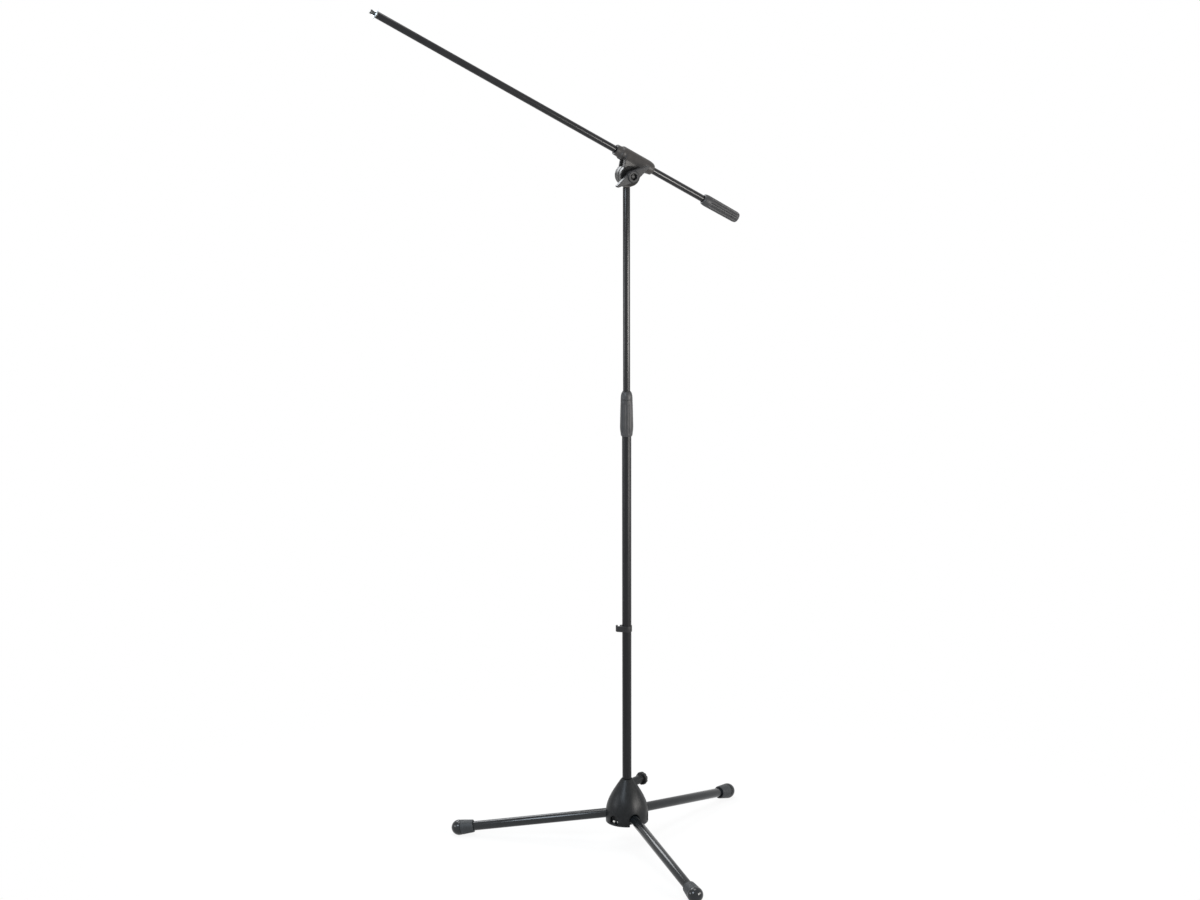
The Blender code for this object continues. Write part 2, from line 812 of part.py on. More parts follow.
def main():
    clear_scene()
    looks = {
        "cast": finish("black_die_cast", (0.045, 0.047, 0.050), 0.55),
        "plastic": finish("black_plastic", (0.035, 0.035, 0.036), 0.50),
        "grip": finish("dark_grey_grip", (0.070, 0.070, 0.072), 0.60),
        "satin": finish("satin_black_tube", (0.028, 0.028, 0.030), 0.42),
        "semi": finish("semi_gloss_tube", (0.025, 0.025, 0.026), 0.30),
        "gloss": finish("gloss_black", (0.020, 0.022, 0.024), 0.20),
        "rubber": finish("black_rubber", (0.045, 0.048, 0.050), 0.70),
        "nylon": finish("grey_nylon", (0.32, 0.32, 0.31), 0.50),
        "zinc": finish("zinc_plated_steel", (0.60, 0.60, 0.58), 0.30, 1.0),
        "chrome": finish("chrome", (0.80, 0.81, 0.82), 0.08, 1.0),
    }
    stand = frame("stand", None, (POLE_X, POLE_Y, 0))
    make_hub(stand, looks)
    for number, angle in enumerate(LEG_ANGLES, 1):
        make_leg(number, angle, stand, looks)
    make_column(stand, looks)
    make_clutch(stand, looks)
    make_clip(stand, looks)
    hinge = make_mast(stand, looks)
    boom_line = make_head(stand, looks)
    make_lever(hinge, looks)
    make_boom(boom_line, looks)


main()
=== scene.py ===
import json
import math

import bmesh
import bpy
from mathutils import Matrix, Vector

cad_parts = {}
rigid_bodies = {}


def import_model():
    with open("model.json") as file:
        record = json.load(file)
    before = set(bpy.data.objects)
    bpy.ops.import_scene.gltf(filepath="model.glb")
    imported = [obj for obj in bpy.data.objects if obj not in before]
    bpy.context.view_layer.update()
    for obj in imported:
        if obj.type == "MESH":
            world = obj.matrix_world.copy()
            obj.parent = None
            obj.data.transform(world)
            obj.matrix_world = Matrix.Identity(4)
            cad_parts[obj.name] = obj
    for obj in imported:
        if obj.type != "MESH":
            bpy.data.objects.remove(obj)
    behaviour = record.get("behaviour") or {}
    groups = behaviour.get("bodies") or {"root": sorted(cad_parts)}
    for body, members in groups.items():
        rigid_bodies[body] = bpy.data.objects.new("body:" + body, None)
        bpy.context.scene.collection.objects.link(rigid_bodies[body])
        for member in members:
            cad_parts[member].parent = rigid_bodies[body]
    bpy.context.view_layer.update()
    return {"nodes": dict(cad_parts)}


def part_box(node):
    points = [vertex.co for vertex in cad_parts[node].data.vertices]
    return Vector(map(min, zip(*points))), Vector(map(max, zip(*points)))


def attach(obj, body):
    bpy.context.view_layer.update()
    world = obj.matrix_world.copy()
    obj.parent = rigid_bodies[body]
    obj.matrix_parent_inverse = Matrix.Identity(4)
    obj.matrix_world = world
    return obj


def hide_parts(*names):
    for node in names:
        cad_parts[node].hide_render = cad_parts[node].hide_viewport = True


# A microphone boom stand: folding tripod, twist-clutch column, tilting boom arm.
print("loading the frame")
for leftover in list(bpy.data.objects):
    bpy.data.objects.remove(leftover, do_unlink=True)
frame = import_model()

mm = 0.001  # every length below is in mm, and every angle in degrees, except the studio's


def turnX(degrees):
    return Matrix.Rotation(math.radians(degrees), 4, "X")


def turnY(degrees):
    return Matrix.Rotation(math.radians(degrees), 4, "Y")


def turnZ(degrees):
    return Matrix.Rotation(math.radians(degrees), 4, "Z")


def shift(x, y, z):
    return Matrix.Translation((x * mm, y * mm, z * mm))


# where the stand's parts are, in the frame's axes
layout = {
    "pole": (104.3, 94.3),
    "legAngles": (-90, 150, 30),
    "windowAngles": (-30, 210, 90),
    "pivot": (24.0, 60.0),  # a leg's pin: out from the pole, and up
    "legOffset": 11.3,  # from the pin up to the leg tube's middle line
    "footReach": 377.2,
    "footHeight": 16.6,
    "hinge": 1474.5,
    "tilt": 29.3,
    "boomOffset": 35.4,
    "leverTurn": 29.0,
    "knobAngle": 30.0,
    "knobHeight": 135.0,
    "clipAngle": 158.0,
}

pole = shift(*layout["pole"], 0)
hinge = pole @ shift(0, 0, layout["hinge"]) @ turnZ(180)
tilted = hinge @ turnY(-layout["tilt"])
boomLine = tilted @ shift(0, 0, layout["boomOffset"]) @ turnY(90)
acrossHead = tilted @ turnX(-90)
leverLine = hinge @ turnY(layout["leverTurn"])
screwLine = pole @ shift(0, 0, layout["knobHeight"]) @ turnZ(layout["knobAngle"] - 90)
knobLine = screwLine @ turnX(-90)
pivotOut, pivotUp = layout["pivot"]


def legRun():
    # how steeply a leg slopes, and its length from the pin to the ball's middle
    out = layout["footReach"] - pivotOut
    down = pivotUp - layout["footHeight"]
    direct = math.hypot(out, down)
    offset = layout["legOffset"]
    slope = math.degrees(math.atan2(down, out) + math.asin(offset / direct))
    return slope, math.sqrt(direct**2 - offset**2)


legSlope, legLength = legRun()


def legPivot(angle):
    return pole @ turnZ(angle) @ shift(pivotOut, 0, pivotUp) @ turnY(legSlope)


def legLine(angle):
    return legPivot(angle) @ shift(0, 0, layout["legOffset"]) @ turnY(90)


# a finish's colour and roughness vary in soft patches, and its grain is a fine bump
plainLook = {
    "metal": 0.0, "specular": 0.5, "stretch": (1, 1, 1),
    "mottle": 60.0, "mottleDetail": 4.0, "toneSpread": (0.3, 0.72),
    "smudge": 25.0, "smudgeDetail": 2.0, "roughSpread": (0.3, 0.7),
    "grain": 1200.0, "grainDetail": 2.0, "grainStrength": 0.15, "grainHeight": 0.0003,
}
finishLooks = {
    "castCoat": {
        "dark": (0.004, 0.0045, 0.005), "light": (0.009, 0.010, 0.011), "rough": (0.32, 0.42),
        "grain": 1500.0, "grainStrength": 0.06, "mottle": 90.0, "specular": 0.19,
    },
    "headCoat": {
        "dark": (0.024, 0.022, 0.021), "light": (0.040, 0.037, 0.035), "rough": (0.34, 0.46),
        "grain": 1500.0, "grainStrength": 0.06, "mottle": 90.0, "specular": 0.28,
    },
    "blackPlastic": {
        "dark": (0.009, 0.009, 0.010), "light": (0.018, 0.018, 0.019), "rough": (0.38, 0.50),
        "grain": 1800.0, "grainStrength": 0.06, "specular": 0.26,
    },
    "matteBlack": {
        "dark": (0.004, 0.004, 0.004), "light": (0.008, 0.008, 0.008), "rough": (0.46, 0.58),
        "grain": 1600.0, "grainStrength": 0.06, "specular": 0.16,
    },
    "gripPlastic": {
        "dark": (0.026, 0.026, 0.027), "light": (0.034, 0.034, 0.036), "rough": (0.42, 0.50),
        "grain": 1400.0, "grainStrength": 0.05, "specular": 0.34,
    },
    "satinTube": {
        "dark": (0.005, 0.005, 0.006), "light": (0.010, 0.010, 0.011), "rough": (0.30, 0.40),
        "grain": 900.0, "grainStrength": 0.01, "stretch": (1, 1, 0.06), "specular": 0.20,
    },
    "semiGlossTube": {
        "dark": (0.004, 0.004, 0.005), "light": (0.008, 0.008, 0.009), "rough": (0.18, 0.25),
        "grain": 900.0, "grainStrength": 0.004, "stretch": (1, 1, 0.06), "specular": 0.32,
    },
    "glossCoat": {
        "dark": (0.004, 0.005, 0.006), "light": (0.008, 0.010, 0.012), "rough": (0.12, 0.20),
        "grain": 700.0, "grainStrength": 0.003, "specular": 0.38,
    },
    "footRubber": {
        "dark": (0.014, 0.016, 0.018), "light": (0.024, 0.027, 0.030), "rough": (0.46, 0.60),
        "grain": 1600.0, "grainStrength": 0.08, "specular": 0.34,
    },
    "greyNylon": {
        "dark": (0.26, 0.26, 0.25), "light": (0.34, 0.34, 0.33), "rough": (0.40, 0.52),
        "grainStrength": 0.08,
    },
    "zincPlate": {
        "dark": (0.50, 0.50, 0.48), "light": (0.66, 0.66, 0.63), "rough": (0.24, 0.38),
        "metal": 1.0, "grain": 2200.0, "grainStrength": 0.06,
    },
    "brightChrome": {
        "dark": (0.46, 0.53, 0.58), "light": (0.62, 0.67, 0.71), "rough": (0.08, 0.18),
        "metal": 1.0, "grainStrength": 0.02,
    },
    # the stud's zinc thread coloured dark: painted shade for the dark reflection its tip shows
    "threadPaintedShade": {
        "dark": (0.08, 0.08, 0.08), "light": (0.16, 0.16, 0.15), "rough": (0.30, 0.45),
        "metal": 1.0, "grain": 2200.0, "grainStrength": 0.06,
    },
    "blackOxide": {
        "dark": (0.020, 0.020, 0.021), "light": (0.045, 0.045, 0.044), "rough": (0.34, 0.50),
        "metal": 1.0, "grain": 2200.0, "grainStrength": 0.06,
    },
}


def addNode(tree, kind, **values):
    node = tree.nodes.new(kind)
    for name, value in values.items():
        node.inputs[name].default_value = value
    return node


def setRange(node, side, limits):
    node.inputs[side + " Min"].default_value, node.inputs[side + " Max"].default_value = limits


def makeFinish(name, changes):
    look = {**plainLook, **changes}
    finish = bpy.data.materials.new(name)
    finish.use_nodes = True
    tree = finish.node_tree
    shader = tree.nodes["Principled BSDF"]
    shader.inputs["Metallic"].default_value = look["metal"]
    shader.inputs["Specular IOR Level"].default_value = look["specular"]
    place = addNode(tree, "ShaderNodeTexCoord")
    spread = addNode(tree, "ShaderNodeMapping", Scale=look["stretch"])
    tree.links.new(place.outputs["Object"], spread.inputs["Vector"])

    def noise(kind):
        scale, detail = look[kind], look[kind + "Detail"]
        node = addNode(tree, "ShaderNodeTexNoise", Scale=scale, Detail=detail)
        tree.links.new(spread.outputs["Vector"], node.inputs["Vector"])
        return node.outputs["Fac"]

    tone = addNode(tree, "ShaderNodeValToRGB")
    ends = zip(tone.color_ramp.elements, look["toneSpread"], (look["dark"], look["light"]))
    for element, position, colour in ends:
        element.position = position
        element.color = (*colour, 1)
    tree.links.new(noise("mottle"), tone.inputs["Fac"])
    tree.links.new(tone.outputs["Color"], shader.inputs["Base Color"])

    rough = addNode(tree, "ShaderNodeMapRange")
    setRange(rough, "From", look["roughSpread"])
    setRange(rough, "To", look["rough"])
    tree.links.new(noise("smudge"), rough.inputs["Value"])
    tree.links.new(rough.outputs["Result"], shader.inputs["Roughness"])

    strength, height = look["grainStrength"], look["grainHeight"]
    bump = addNode(tree, "ShaderNodeBump", Strength=strength, Distance=height)
    tree.links.new(noise("grain"), bump.inputs["Height"])
    tree.links.new(bump.outputs["Normal"], shader.inputs["Normal"])
    return finish


print("finishes")
finishes = {name: makeFinish(name, look) for name, look in finishLooks.items()}


def joinRings(bm, low, high):
    # faces between two rings of points, or a ring and one point
    count = max(len(low), len(high))
    for i in range(count):
        j = (i + 1) % count
        corners = [low[i % len(low)], low[j % len(low)], high[j % len(high)], high[i % len(high)]]
        bm.faces.new(list(dict.fromkeys(corners)))


def meshFrom(bm, name):
    bmesh.ops.recalc_face_normals(bm, faces=bm.faces)
    mesh = bpy.data.meshes.new(name)
    bm.to_mesh(mesh)
    bm.free()
    return mesh


def turnedMesh(name, profile, steps=96):
    # profile of (radius, height), a ring or from axis to axis
    bm = bmesh.new()
    rings = []
    for radius, height in profile:
        if radius == 0:
            rings.append([bm.verts.new((0, 0, height * mm))])
            continue
        ring = []
        for step in range(steps):
            angle = 2 * math.pi * step / steps
            spot = (radius * mm * math.cos(angle), radius * mm * math.sin(angle), height * mm)
            ring.append(bm.verts.new(spot))
        rings.append(ring)
    if profile[0][0] != 0:
        rings.append(rings[0])
    for low, high in zip(rings, rings[1:]):
        joinRings(bm, low, high)
    return meshFrom(bm, name)


def prismMesh(name, outline, low, high):
    # outline of (x, z), pulled along Y
    bm = bmesh.new()
    near = [bm.verts.new((x * mm, low * mm, z * mm)) for x, z in outline]
    far = [bm.verts.new((x * mm, high * mm, z * mm)) for x, z in outline]
    bm.faces.new(near)
    bm.faces.new(far)
    joinRings(bm, near, far)
    return meshFrom(bm, name)


def onCircle(centre, radius, degrees):
    angle = math.radians(degrees)
    return centre[0] + radius * math.cos(angle), centre[1] + radius * math.sin(angle)


def arc(centre, radius, start, end, steps):
    angles = [start + (end - start) * step / steps for step in range(steps + 1)]
    return [onCircle(centre, radius, angle) for angle in angles]


def curveThrough(a, b, c, d, steps):
    # a Bezier curve from a to d
    points = []
    for step in range(steps + 1):
        t = step / steps
        u = 1 - t
        weights = (u**3, 3 * u * u * t, 3 * u * t * t, t**3)
        points.append(tuple(sum(w * p[k] for w, p in zip(weights, (a, b, c, d))) for k in (0, 1)))
    return points


cornerShare = 0.45  # how much of an edge the rounding of one corner may take


def softened(points, radius, closed=True, steps=4):
    # rounds the corners of an outline or profile
    made = []
    for i, corner in enumerate(points):
        if not closed and i in (0, len(points) - 1):
            made.append(corner)
            continue
        p = Vector(corner)
        before = Vector(points[i - 1]) - p
        after = Vector(points[(i + 1) % len(points)]) - p
        reach = min(radius, before.length * cornerShare, after.length * cornerShare)
        start = p + before.normalized() * reach
        end = p + after.normalized() * reach
        for step in range(steps + 1):
            t = step / steps
            q = start * (1 - t) ** 2 + p * 2 * t * (1 - t) + end * t * t
            made.append((q.x, q.y))
    return made


def filledIn(points, gap):
    # adds points to a profile where two are well over a gap apart
    made = []
    for a, b in zip(points, points[1:]):
        count = max(1, int(math.dist(a, b) / gap))
        for k in range(count):
            made.append((a[0] + (b[0] - a[0]) * k / count, a[1] + (b[1] - a[1]) * k / count))
    return made + [points[-1]]


def archOutline(half, low, springing, steps):
    # an opening with a round top, which starts at the height of the springing
    return [(-half, low), (half, low)] + arc((0, springing), half, 0, 180, steps)


def boxOutline(half, low, high):
    return [(-half, low), (half, low), (half, high), (-half, high)]


holeSteps = 32  # sides of a small round cut


def hexOutline(radius):
    return arc((0, 0), radius, 0, 300, 5)


def rodProfile(radius, low, high):
    return [(0, low), (radius, low), (radius, high), (0, high)]


def tempObject(mesh, place=None):
    thing = bpy.data.objects.new(mesh.name, mesh)
    bpy.context.scene.collection.objects.link(thing)
    if place is not None:
        thing.matrix_world = place
    return thing


def evaluated(thing):
    bpy.context.view_layer.update()
    graph = bpy.context.evaluated_depsgraph_get()
    mesh = bpy.data.meshes.new_from_object(thing.evaluated_get(graph), depsgraph=graph)
    mesh.name = thing.name
    return mesh


def carved(mesh, steps):
    # steps of (operation, mesh, place)
    thing = tempObject(mesh)
    tools = []
    for operation, toolMesh, place in steps:
        tool = tempObject(toolMesh, place)
        tools.append(tool)
        cut = thing.modifiers.new("cut", "BOOLEAN")
        cut.operation = operation
        cut.solver = "EXACT"
        cut.object = tool
    made = evaluated(thing)
    for old in [thing, *tools]:
        bpy.data.objects.remove(old)
    return made


easeFactor = 0.5  # how far one smoothing pass moves a point toward its neighbours


def castSoft(mesh, voxel, passes):
    # rounds every edge as a die casting's are
    thing = tempObject(mesh)
    remesh = thing.modifiers.new("voxels", "REMESH")
    remesh.mode = "VOXEL"
    remesh.voxel_size = voxel * mm
    ease = thing.modifiers.new("ease", "SMOOTH")
    ease.factor = easeFactor
    ease.iterations = passes
    made = evaluated(thing)
    bpy.data.objects.remove(thing)
    return made


def bevelled(mesh, width, segments, angle):
    thing = tempObject(mesh)
    edge = thing.modifiers.new("edge", "BEVEL")
    edge.width = width * mm
    edge.segments = segments
    edge.limit_method = "ANGLE"
    edge.angle_limit = math.radians(angle)
    made = evaluated(thing)
    bpy.data.objects.remove(thing)
    return made


weldGap = 1e-6  # metres


def facingOut(mesh):
    bm = bmesh.new()
    bm.from_mesh(mesh)
    bmesh.ops.remove_doubles(bm, verts=bm.verts, dist=weldGap)
    bmesh.ops.recalc_face_normals(bm, faces=bm.faces)
    if bm.calc_volume(signed=True) < 0:
        bmesh.ops.reverse_faces(bm, faces=bm.faces)
    bm.to_mesh(mesh)
    bm.free()


castSharp = 60  # edges of a casting that bend less than this are shaded smooth


def showPiece(name, mesh, place, body, finish, node, sharp=35):
    mesh.transform(place)
    facingOut(mesh)
    mesh.materials.clear()
    mesh.materials.append(finishes[finish])
    mesh.shade_smooth()
    mesh.set_sharp_from_angle(angle=math.radians(sharp))
    piece = bpy.data.objects.new(name, mesh)
    bpy.context.scene.collection.objects.link(piece)
    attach(piece, body)
    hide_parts(node)


def startTree(name, inputs):
    tree = bpy.data.node_groups.new(name, "GeometryNodeTree")
    for label, kind in inputs:
        tree.interface.new_socket(label, in_out="INPUT", socket_type=kind)
    tree.interface.new_socket("Geometry", in_out="OUTPUT", socket_type="NodeSocketGeometry")
    return tree, tree.nodes.new("NodeGroupInput").outputs, tree.nodes.new("NodeGroupOutput")


def maths(tree, operation, *values):
    node = tree.nodes.new("ShaderNodeMath")
    node.operation = operation
    for socket, value in zip(node.inputs, values):
        if isinstance(value, (int, float)):
            socket.default_value = value
        else:
            tree.links.new(value, socket)
    return node.outputs[0]


def endTree(tree, result, finishSocket, output):
    real = tree.nodes.new("GeometryNodeRealizeInstances")
    paint = tree.nodes.new("GeometryNodeSetMaterial")
    tree.links.new(result, real.inputs["Geometry"])
    tree.links.new(real.outputs["Geometry"], paint.inputs["Geometry"])
    tree.links.new(finishSocket, paint.inputs["Material"])
    tree.links.new(paint.outputs["Geometry"], output.inputs["Geometry"])


def makeTubeTree():
    # a drawn tube: its wall's section swept round a circle
    number = "NodeSocketFloat"
    tree, given, output = startTree("drawnTube", [
        ("Outer Radius", number), ("Wall", number), ("Length", number), ("Edge Round", number),
        ("Steps", "NodeSocketInt"), ("Finish", "NodeSocketMaterial"),
    ])
    ring = tree.nodes.new("GeometryNodeCurvePrimitiveCircle")
    half = maths(tree, "MULTIPLY", given["Wall"], 0.5)
    tree.links.new(maths(tree, "SUBTRACT", given["Outer Radius"], half), ring.inputs["Radius"])
    tree.links.new(given["Steps"], ring.inputs["Resolution"])
    section = tree.nodes.new("GeometryNodeCurvePrimitiveQuadrilateral")
    tree.links.new(given["Wall"], section.inputs["Width"])
    tree.links.new(given["Length"], section.inputs["Height"])
    edge = tree.nodes.new("GeometryNodeFilletCurve")
    edge.mode = "POLY"
    edge.inputs["Count"].default_value = 3
    tree.links.new(section.outputs["Curve"], edge.inputs["Curve"])
    tree.links.new(given["Edge Round"], edge.inputs["Radius"])
    sweep = tree.nodes.new("GeometryNodeCurveToMesh")
    tree.links.new(ring.outputs["Curve"], sweep.inputs["Curve"])
    tree.links.new(edge.outputs["Curve"], sweep.inputs["Profile Curve"])
    lift = tree.nodes.new("GeometryNodeTransform")
    place = tree.nodes.new("ShaderNodeCombineXYZ")
    tree.links.new(maths(tree, "MULTIPLY", given["Length"], 0.5), place.inputs["Z"])
    tree.links.new(sweep.outputs["Mesh"], lift.inputs["Geometry"])
    tree.links.new(place.outputs["Vector"], lift.inputs["Translation"])
    endTree(tree, lift.outputs["Geometry"], given["Finish"], output)
    return tree


def makeGrooveTree():
    # grooves round a turned piece: straight flutes, lobes, or one spiral thread
    number = "NodeSocketFloat"
    tree, given, output = startTree("groovesAround", [
        ("Geometry", "NodeSocketGeometry"), ("Count", number), ("Pitch", number),
        ("Depth", number), ("Sharpness", number), ("Start", number), ("End", number),
        ("Fade", number), ("Core Radius", number), ("Finish", "NodeSocketMaterial"),
    ])
    coreFade, leastRadius = 0.0002, 0.0001  # metres
    spot = tree.nodes.new("GeometryNodeInputPosition")
    parts = tree.nodes.new("ShaderNodeSeparateXYZ")
    tree.links.new(spot.outputs["Position"], parts.inputs["Vector"])
    x, y, z = parts.outputs
    squares = maths(tree, "ADD", maths(tree, "MULTIPLY", x, x), maths(tree, "MULTIPLY", y, y))
    radius = maths(tree, "SQRT", squares)
    angle = maths(tree, "MULTIPLY", maths(tree, "ARCTAN2", y, x), given["Count"])
    climb = maths(tree, "MULTIPLY", maths(tree, "DIVIDE", z, given["Pitch"]), 2 * math.pi)
    wave = maths(tree, "COSINE", maths(tree, "ADD", angle, climb))
    wave = maths(tree, "POWER", maths(tree, "MAXIMUM", wave, 0.0), given["Sharpness"])

    def ramp(value, start, end):
        node = tree.nodes.new("ShaderNodeMapRange")
        node.interpolation_type = "SMOOTHSTEP"
        tree.links.new(value, node.inputs["Value"])
        tree.links.new(start, node.inputs["From Min"])
        tree.links.new(end, node.inputs["From Max"])
        return node.outputs["Result"]

    start, end, fade, core = given["Start"], given["End"], given["Fade"], given["Core Radius"]
    rise = ramp(z, start, maths(tree, "ADD", start, fade))
    fall = ramp(z, maths(tree, "SUBTRACT", end, fade), end)
    outer = ramp(radius, core, maths(tree, "ADD", core, coreFade))
    along = maths(tree, "MULTIPLY", rise, maths(tree, "SUBTRACT", 1.0, fall))
    cover = maths(tree, "MULTIPLY", along, outer)
    depth = maths(tree, "MULTIPLY", maths(tree, "MULTIPLY", wave, cover), given["Depth"])
    inwards = maths(tree, "MULTIPLY", depth, -1.0)
    share = maths(tree, "DIVIDE", inwards, maths(tree, "MAXIMUM", radius, leastRadius))
    push = tree.nodes.new("ShaderNodeCombineXYZ")
    tree.links.new(maths(tree, "MULTIPLY", x, share), push.inputs["X"])
    tree.links.new(maths(tree, "MULTIPLY", y, share), push.inputs["Y"])
    move = tree.nodes.new("GeometryNodeSetPosition")
    tree.links.new(given["Geometry"], move.inputs["Geometry"])
    tree.links.new(push.outputs["Vector"], move.inputs["Offset"])
    endTree(tree, move.outputs["Geometry"], given["Finish"], output)
    return tree


def byNodes(name, tree, values, base=None):
    thing = tempObject(base or bpy.data.meshes.new(name))
    thing.name = name
    nodes = thing.modifiers.new(tree.name, "NODES")
    nodes.node_group = tree
    for item in tree.interface.items_tree:
        if item.in_out == "INPUT" and item.name in values:
            nodes[item.identifier] = values[item.name]
    made = evaluated(thing)
    thing.modifiers.remove(nodes)
    bpy.data.objects.remove(thing)
    return made


print("geometry node trees")
tubeTree = makeTubeTree()
grooveTree = makeGrooveTree()
tubeEdge = 0.4
straightPitch = 1000.0  # so long that grooves run straight


def tubeMesh(name, outer, wall, length, finish, steps=80):
    values = {
        "Outer Radius": outer * mm, "Wall": wall * mm, "Length": length * mm,
        "Edge Round": tubeEdge * mm, "Steps": steps, "Finish": finishes[finish],
    }
    return byNodes(name, tubeTree, values)


def groovedMesh(base, grooves, finish):
    values = {"Finish": finishes[finish], "Pitch": straightPitch}
    for label, value in grooves.items():
        values[label] = float(value) if label in ("Count", "Sharpness") else value * mm
    return byNodes(base.name, grooveTree, values, base)


print("hub")
hub = {
    # the bell's wall, as (radius, height): lower rim, curve outside, bush seat, curve inside, core
    "rim": [(46.0, 52.0), (46.9, 53.0)],
    "outside": [(47.2, 66.0), (47.2, 95.5), (37.6, 112.5), (12.2, 150.0)],
    "bushSeat": [(10.5, 150.0), (10.5, 143), (13.2, 143), (13.2, 118)],
    "ceiling": [(18, 118), (28.5, 112), (38.5, 99), (40.5, 88)],
    "core": [(19, 88), (19, 52.0)],
    # half width and height where the arch's round starts, and how far out from the pole it runs
    "legOpenings": [((13.5, 72.0), (4, 41)), ((10.9, 69.0), (30, 60))],
    "legOpeningLow": 40,
    "window": (10.5, 56.5, 65.0), "windowCorner": 1.5, "windowRun": (38.0, 55), "windowSteps": 24,
    "pinBore": (3.2, -34.5, 34.5),
    "boss": (9.5, 14, 42.0), "nutPocket": 7.8, "nutRun": (4, 27.3), "screwHole": (4.4, 25.5, 50),
    "steps": 160, "outsideSteps": 40, "ceilingSteps": 12, "bossSteps": 64,
    "voxel": 0.95, "smoothing": 4,
}


def makeHub():
    profile = hub["rim"] + curveThrough(*hub["outside"], hub["outsideSteps"]) + hub["bushSeat"]
    profile += curveThrough(*hub["ceiling"], hub["ceilingSteps"]) + hub["core"]
    shell = turnedMesh("hubShell", profile, hub["steps"])
    boss = turnedMesh("boss", rodProfile(*hub["boss"]), hub["bossSteps"])
    steps = [("UNION", boss, knobLine)]
    for angle in layout["legAngles"]:
        for (half, springing), run in hub["legOpenings"]:
            outline = archOutline(half, hub["legOpeningLow"], springing, holeSteps)
            slot = prismMesh("slot", outline, *run)
            steps.append(("DIFFERENCE", slot, pole @ turnZ(angle - 90)))
        bore = turnedMesh("pinBore", rodProfile(*hub["pinBore"]), holeSteps)
        place = pole @ turnZ(angle) @ shift(pivotOut, 0, pivotUp) @ turnX(-90)
        steps.append(("DIFFERENCE", bore, place))
    window = softened(archOutline(*hub["window"], hub["windowSteps"]), hub["windowCorner"])
    for angle in layout["windowAngles"]:
        cut = prismMesh("window", window, *hub["windowRun"])
        steps.append(("DIFFERENCE", cut, pole @ turnZ(angle - 90)))
    pocket = prismMesh("nutPocket", hexOutline(hub["nutPocket"]), *hub["nutRun"])
    steps.append(("DIFFERENCE", pocket, screwLine))
    screwHole = turnedMesh("screwHole", rodProfile(*hub["screwHole"]), holeSteps)
    steps.append(("DIFFERENCE", screwHole, knobLine))
    shell.transform(pole)
    mesh = castSoft(carved(shell, steps), hub["voxel"], hub["smoothing"])
    showPiece("hubShell", mesh, Matrix(), "hub", "castCoat", "hub_housing", castSharp)


makeHub()

print("base knob")
knob = {
    "hollow": [(0, 55.2), (4.3, 55.2)],
    "outline": [
        (4.3, 44.3), (6.4, 44.3), (6.8, 49.8), (14.0, 50.3), (14.6, 51.4), (14.6, 56.2),
        (13.7, 57.4), (5.5, 56.8), (5.3, 56.2), (0, 56.2),
    ],
    "corner": 0.5, "cornerSteps": 3, "gap": 1.0, "steps": 160, "sharp": 40,
    "lobes": {
        "Count": 10, "Depth": 1.3, "Sharpness": 2, "Start": 49, "End": 59, "Fade": 0.6,
        "Core Radius": 12.8,
    },
}


def makeKnob():
    rim = softened(knob["outline"], knob["corner"], False, knob["cornerSteps"])
    base = turnedMesh("knobHead", filledIn(knob["hollow"] + rim, knob["gap"]), knob["steps"])
    mesh = groovedMesh(base, knob["lobes"], "blackPlastic")
    sharp = knob["sharp"]
    showPiece("knobHead", mesh, knobLine, "base_knob", "blackPlastic", "base_knob", sharp)


makeKnob()

print("legs and feet")
leg = {
    "radius": 10.4, "wall": 1.2, "start": 8.2, "endGap": 1.0, "ball": 17.2,
    "tubeSteps": 64, "footSteps": 80, "ballArcSteps": 36, "socketSteps": 64,
    # as (radius, place from the ball's middle along the leg)
    "sleeve": [
        (10.7, -33.5), (13.6, -33.5), (14.3, -31.9), (14.6, -27.5), (15.3, -20), (16.2, -10.5),
        (16.55, -6.6), (16.3, -5.0), (10.7, -5.0),
    ],
    "sleeveCorner": 0.8,
    "socket": [(0, -40), (30, -40), (30, -4.7), (10.7, -4.7), (10.7, -0.7), (0, -0.7)],
}


def alongLeg(profile):
    return [(radius, legLength + place) for radius, place in profile]


def makeLegs():
    footHeight = layout["footHeight"]
    flat = math.degrees(math.asin(footHeight / leg["ball"]))  # the ball is cut flat on the floor
    side = arc((0, 0), leg["ball"], -flat, 90, leg["ballArcSteps"])
    ball = [(0, -footHeight)] + side[:-1] + [(0, leg["ball"])]
    for number, angle in enumerate(layout["legAngles"], 1):
        body = f"leg_{number}"
        line = legLine(angle)
        length = legLength - leg["endGap"] - leg["start"]
        name = f"legTube{number}"
        mesh = tubeMesh(name, leg["radius"], leg["wall"], length, "glossCoat", leg["tubeSteps"])
        place = line @ shift(0, 0, leg["start"])
        showPiece(name, mesh, place, body, "glossCoat", f"leg_tube_{number}")

        name = f"footSleeve{number}"
        sleeve = softened(alongLeg(leg["sleeve"]), leg["sleeveCorner"])
        mesh = turnedMesh(name, sleeve, leg["footSteps"])
        showPiece(name, mesh, line, body, "footRubber", f"foot_sleeve_{number}")

        name = f"footBall{number}"
        mesh = turnedMesh(name, ball, leg["footSteps"])
        middle = legPivot(angle) @ shift(legLength, 0, layout["legOffset"])
        mesh.transform(middle @ turnY(-legSlope))
        socket = turnedMesh("socket", alongLeg(leg["socket"]), leg["socketSteps"])
        mesh = carved(mesh, [("DIFFERENCE", socket, line)])
        showPiece(name, mesh, Matrix(), body, "glossCoat", f"foot_ball_{number}")


makeLegs()

print("column")
column = {
    # node: piece, outer radius, wall, body, finish, slot
    "lower_tube": ("lowerTube", 10.0, 1.5, "column", "satinTube", "tube_satin"),
    "upper_tube": ("upperTube", 7.7, 1.2, "mast", "semiGlossTube", "tube_semi"),
}


